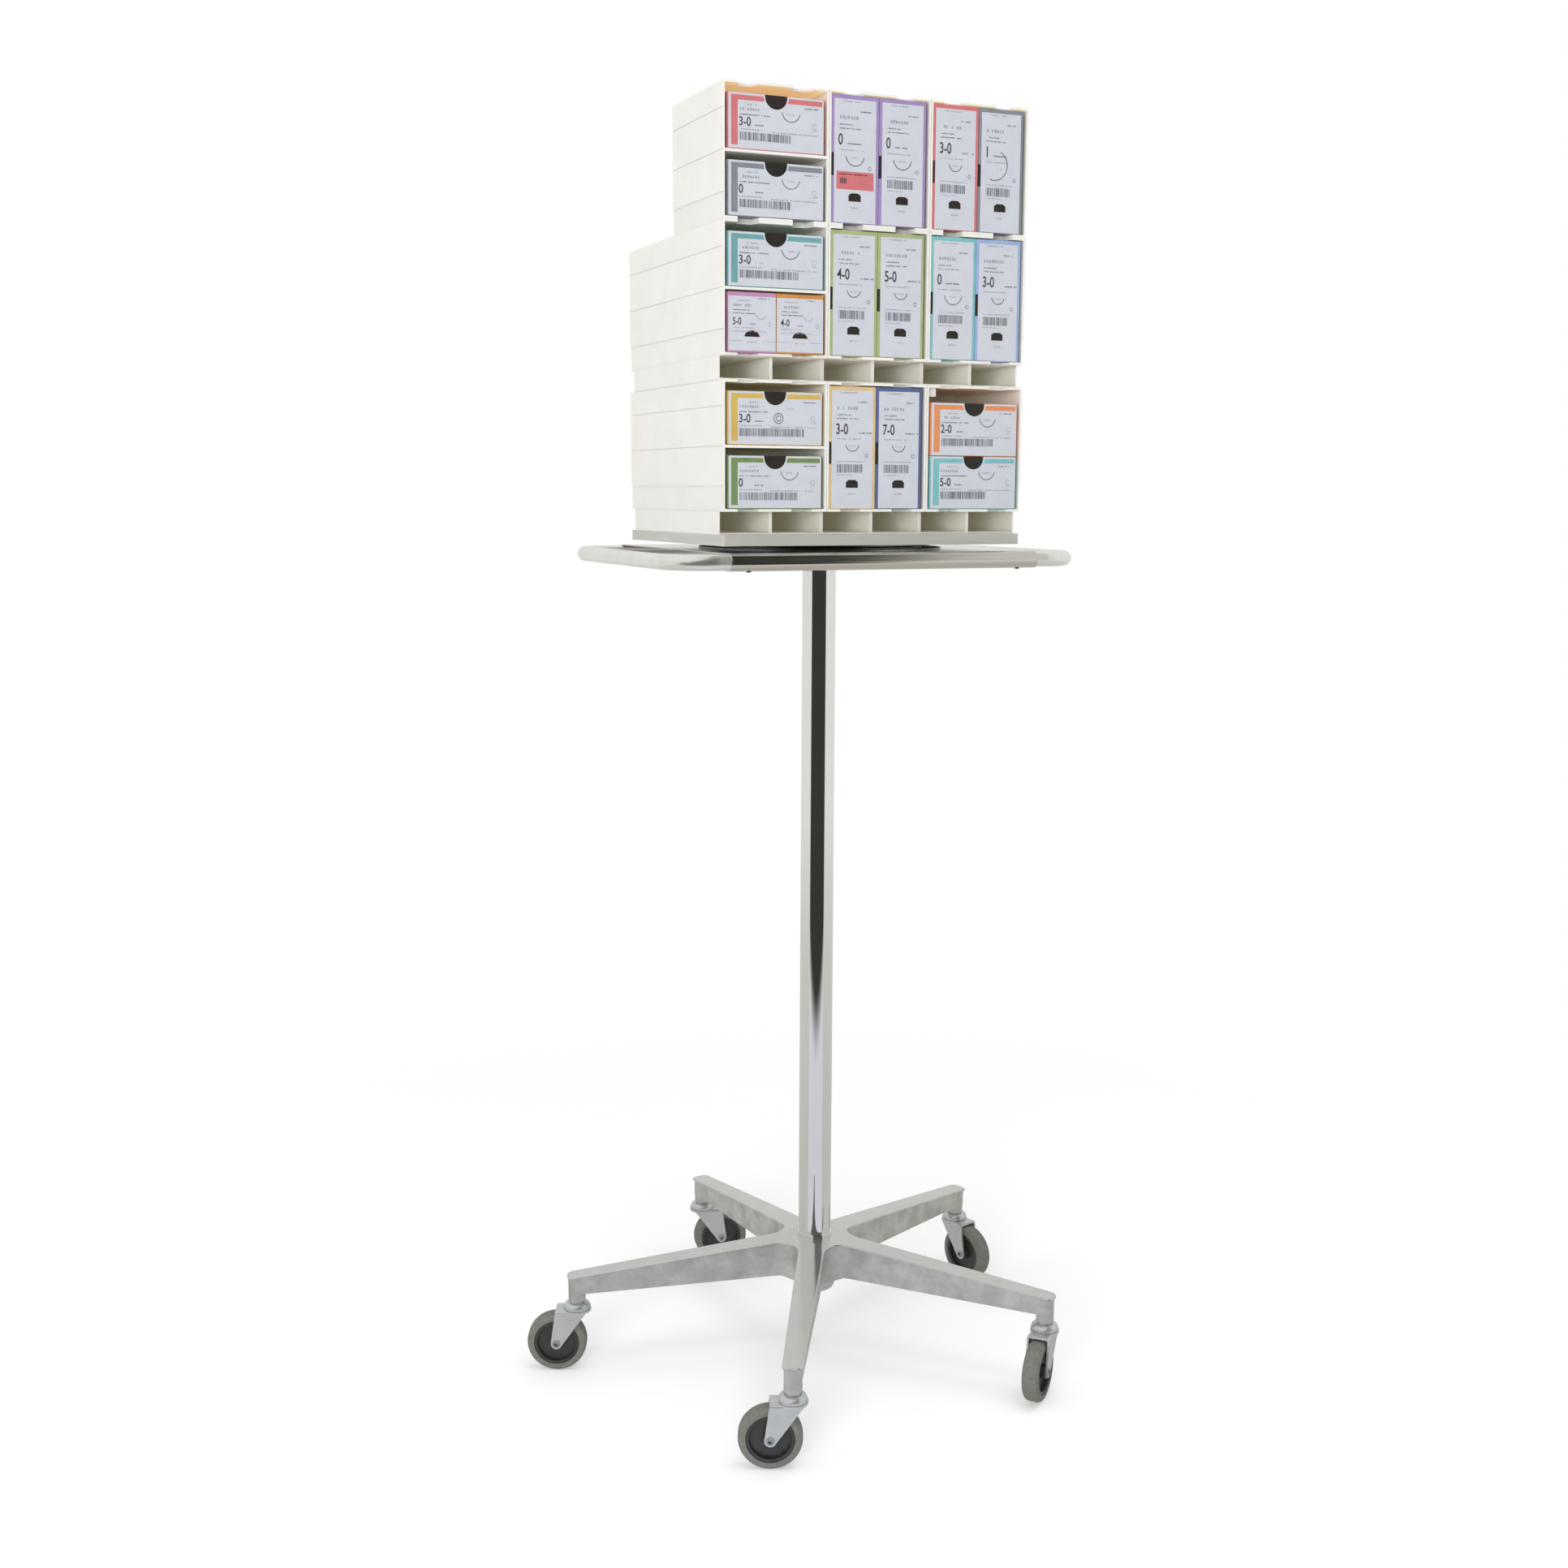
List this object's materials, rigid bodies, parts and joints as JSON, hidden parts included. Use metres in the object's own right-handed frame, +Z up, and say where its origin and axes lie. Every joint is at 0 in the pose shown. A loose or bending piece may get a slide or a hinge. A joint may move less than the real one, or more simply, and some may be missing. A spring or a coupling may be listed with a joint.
{
  "type": "suture cabinet",
  "caption": "Rolling stand with a turntable of stacked open-front racks, each holding lift-out printed cartons, over a hand-grip tray, a column and a swivel-caster star base.",
  "frame": {"origin": "on the floor under the column's axis", "axes": "+X to the right along the rack fronts, +Y from the front racks to the rear racks, +Z up; the cartons face -Y"},
  "size_m": [0.681, 0.623, 1.5625],
  "materials": {
    "polished_aluminium": "die-cast, polished top and rough cast sides",
    "aluminium_tube": "satin anodised tube",
    "chromed_steel": "bright chrome plate",
    "stainless_sheet": "brushed stainless sheet",
    "zinc_plated_steel": "bright zinc plate",
    "steel_fasteners": "plain bright steel",
    "bearing_steel": "zinc plated pressed steel",
    "board_aluminium": "satin anodised plate",
    "rack_plastic": "moulded cream-white ABS",
    "wheel_plastic": "moulded black nylon",
    "tyre_rubber": "grey non-marking rubber",
    "card_red": "folded printed carton, red edges",
    "card_grey": "folded printed carton, grey edges",
    "card_purple": "folded printed carton, purple edges",
    "card_teal": "folded printed carton, teal edges",
    "card_pink": "folded printed carton, pink edges",
    "card_amber": "folded printed carton, amber edges",
    "card_lime": "folded printed carton, lime edges",
    "card_aqua": "folded printed carton, aqua edges",
    "card_blue": "folded printed carton, blue edges",
    "card_yellow": "folded printed carton, yellow edges",
    "card_green": "folded printed carton, green edges",
    "card_tan": "folded printed carton, tan edges",
    "card_navy": "folded printed carton, navy edges",
    "card_orange": "folded printed carton, orange edges"
  },
  "bodies": {
    "stand": {"bearing_balls": "bearing_steel", "bearing_lower": "bearing_steel", "caster_stems": "zinc_plated_steel", "column": "chromed_steel", "column_collar": "chromed_steel", "flange_bolts": "steel_fasteners", "foot_cap": "polished_aluminium", "star_base": "polished_aluminium", "tray_plate": "stainless_sheet", "tray_ring": "aluminium_tube", "tray_screws": "steel_fasteners"},
    "turntable": {"pocket_row_lower": "rack_plastic", "pocket_row_upper": "rack_plastic", "rack_front_bottom": "rack_plastic", "rack_front_middle": "rack_plastic", "rack_front_top": "rack_plastic", "rack_rear_bottom": "rack_plastic", "rack_rear_middle": "rack_plastic", "base_board": "board_aluminium", "bearing_upper": "bearing_steel"},
    "caster_1_swivel": {"caster_1_fork": "zinc_plated_steel", "caster_1_axle": "steel_fasteners"},
    "caster_1_wheel": {"caster_1_wheel_hub": "wheel_plastic", "caster_1_tyre": "tyre_rubber"},
    "caster_2_swivel": {"caster_2_fork": "zinc_plated_steel", "caster_2_axle": "steel_fasteners"},
    "caster_2_wheel": {"caster_2_wheel_hub": "wheel_plastic", "caster_2_tyre": "tyre_rubber"},
    "caster_3_swivel": {"caster_3_fork": "zinc_plated_steel", "caster_3_axle": "steel_fasteners"},
    "caster_3_wheel": {"caster_3_wheel_hub": "wheel_plastic", "caster_3_tyre": "tyre_rubber"},
    "caster_4_swivel": {"caster_4_fork": "zinc_plated_steel", "caster_4_axle": "steel_fasteners"},
    "caster_4_wheel": {"caster_4_wheel_hub": "wheel_plastic", "caster_4_tyre": "tyre_rubber"},
    "caster_5_swivel": {"caster_5_fork": "zinc_plated_steel", "caster_5_axle": "steel_fasteners"},
    "caster_5_wheel": {"caster_5_wheel_hub": "wheel_plastic", "caster_5_tyre": "tyre_rubber"},
    "carton_bottom_centre_first": {"carton_bottom_centre_first": "card_tan"},
    "carton_bottom_centre_second": {"carton_bottom_centre_second": "card_navy"},
    "carton_bottom_left_lower": {"carton_bottom_left_lower": "card_green"},
    "carton_bottom_left_upper": {"carton_bottom_left_upper": "card_yellow"},
    "carton_bottom_right_lower": {"carton_bottom_right_lower": "card_aqua"},
    "carton_bottom_right_upper": {"carton_bottom_right_upper": "card_orange"},
    "carton_middle_centre_first": {"carton_middle_centre_first": "card_lime"},
    "carton_middle_centre_second": {"carton_middle_centre_second": "card_lime"},
    "carton_middle_left_first": {"carton_middle_left_first": "card_pink"},
    "carton_middle_left_second": {"carton_middle_left_second": "card_amber"},
    "carton_middle_left_upper": {"carton_middle_left_upper": "card_teal"},
    "carton_middle_right_first": {"carton_middle_right_first": "card_aqua"},
    "carton_middle_right_second": {"carton_middle_right_second": "card_blue"},
    "carton_top_centre_first": {"carton_top_centre_first": "card_purple"},
    "carton_top_centre_second": {"carton_top_centre_second": "card_purple"},
    "carton_top_left_lower": {"carton_top_left_lower": "card_grey"},
    "carton_top_left_upper": {"carton_top_left_upper": "card_red"},
    "carton_top_right_first": {"carton_top_right_first": "card_red"},
    "carton_top_right_second": {"carton_top_right_second": "card_grey"}
  },
  "joints": [
    {"name": "turntable_spin", "type": "hinge", "parent": "stand", "child": "turntable", "pos_m": [0, 0, 1.0565], "axis": [0, 0, 1], "continuous": true},
    {"name": "caster_1_turn", "type": "hinge", "parent": "stand", "child": "caster_1_swivel", "pos_m": [-0.30854, 0.0583, 0.0805], "axis": [0, 0, 1], "continuous": true},
    {"name": "caster_1_roll", "type": "hinge", "parent": "caster_1_swivel", "child": "caster_1_wheel", "pos_m": [-0.33242, 0.06858, 0.038], "axis": [0.3955, 0.9184, 0], "continuous": true},
    {"name": "caster_2_turn", "type": "hinge", "parent": "stand", "child": "caster_2_swivel", "pos_m": [-0.15079, -0.27542, 0.0805], "axis": [0, 0, 1], "continuous": true},
    {"name": "caster_2_roll", "type": "hinge", "parent": "caster_2_swivel", "child": "caster_2_wheel", "pos_m": [-0.17467, -0.26514, 0.038], "axis": [0.3955, 0.9184, 0], "continuous": true},
    {"name": "caster_3_turn", "type": "hinge", "parent": "stand", "child": "caster_3_swivel", "pos_m": [0.21535, -0.22852, 0.0805], "axis": [0, 0, 1], "continuous": true},
    {"name": "caster_3_roll", "type": "hinge", "parent": "caster_3_swivel", "child": "caster_3_wheel", "pos_m": [0.19603, -0.24592, 0.038], "axis": [-0.6691, 0.7431, 0], "continuous": true},
    {"name": "caster_4_turn", "type": "hinge", "parent": "stand", "child": "caster_4_swivel", "pos_m": [0.28388, 0.13419, 0.0805], "axis": [0, 0, 1], "continuous": true},
    {"name": "caster_4_roll", "type": "hinge", "parent": "caster_4_swivel", "child": "caster_4_wheel", "pos_m": [0.29148, 0.10933, 0.038], "axis": [-0.9563, -0.2924, 0], "continuous": true},
    {"name": "caster_5_turn", "type": "hinge", "parent": "stand", "child": "caster_5_swivel", "pos_m": [-0.0399, 0.31145, 0.0805], "axis": [0, 0, 1], "continuous": true},
    {"name": "caster_5_roll", "type": "hinge", "parent": "caster_5_swivel", "child": "caster_5_wheel", "pos_m": [-0.01429, 0.30694, 0.038], "axis": [-0.1736, -0.9848, 0], "continuous": true},
    {"name": "slide_bottom_centre_first", "type": "slide", "parent": "turntable", "child": "carton_bottom_centre_first", "axis": [0, -1, 0], "range_m": [0, 0.1226]},
    {"name": "slide_bottom_centre_second", "type": "slide", "parent": "turntable", "child": "carton_bottom_centre_second", "axis": [0, -1, 0], "range_m": [0, 0.1226]},
    {"name": "slide_bottom_left_lower", "type": "slide", "parent": "turntable", "child": "carton_bottom_left_lower", "axis": [0, -1, 0], "range_m": [0, 0.145]},
    {"name": "slide_bottom_left_upper", "type": "slide", "parent": "turntable", "child": "carton_bottom_left_upper", "axis": [0, -1, 0], "range_m": [0, 0.145]},
    {"name": "slide_bottom_right_lower", "type": "slide", "parent": "turntable", "child": "carton_bottom_right_lower", "axis": [0, -1, 0], "range_m": [0, 0.145]},
    {"name": "slide_bottom_right_upper", "type": "slide", "parent": "turntable", "child": "carton_bottom_right_upper", "axis": [0, -1, 0], "range_m": [0, 0.145]},
    {"name": "slide_middle_centre_first", "type": "slide", "parent": "turntable", "child": "carton_middle_centre_first", "axis": [0, -1, 0], "range_m": [0, 0.1226]},
    {"name": "slide_middle_centre_second", "type": "slide", "parent": "turntable", "child": "carton_middle_centre_second", "axis": [0, -1, 0], "range_m": [0, 0.1226]},
    {"name": "slide_middle_left_first", "type": "slide", "parent": "turntable", "child": "carton_middle_left_first", "axis": [0, -1, 0], "range_m": [0, 0.1226]},
    {"name": "slide_middle_left_second", "type": "slide", "parent": "turntable", "child": "carton_middle_left_second", "axis": [0, -1, 0], "range_m": [0, 0.1226]},
    {"name": "slide_middle_left_upper", "type": "slide", "parent": "turntable", "child": "carton_middle_left_upper", "axis": [0, -1, 0], "range_m": [0, 0.145]},
    {"name": "slide_middle_right_first", "type": "slide", "parent": "turntable", "child": "carton_middle_right_first", "axis": [0, -1, 0], "range_m": [0, 0.1226]},
    {"name": "slide_middle_right_second", "type": "slide", "parent": "turntable", "child": "carton_middle_right_second", "axis": [0, -1, 0], "range_m": [0, 0.1226]},
    {"name": "slide_top_centre_first", "type": "slide", "parent": "turntable", "child": "carton_top_centre_first", "axis": [0, -1, 0], "range_m": [0, 0.1226]},
    {"name": "slide_top_centre_second", "type": "slide", "parent": "turntable", "child": "carton_top_centre_second", "axis": [0, -1, 0], "range_m": [0, 0.1226]},
    {"name": "slide_top_left_lower", "type": "slide", "parent": "turntable", "child": "carton_top_left_lower", "axis": [0, -1, 0], "range_m": [0, 0.145]},
    {"name": "slide_top_left_upper", "type": "slide", "parent": "turntable", "child": "carton_top_left_upper", "axis": [0, -1, 0], "range_m": [0, 0.145]},
    {"name": "slide_top_right_first", "type": "slide", "parent": "turntable", "child": "carton_top_right_first", "axis": [0, -1, 0], "range_m": [0, 0.1226]},
    {"name": "slide_top_right_second", "type": "slide", "parent": "turntable", "child": "carton_top_right_second", "axis": [0, -1, 0], "range_m": [0, 0.1226]}
  ]
}
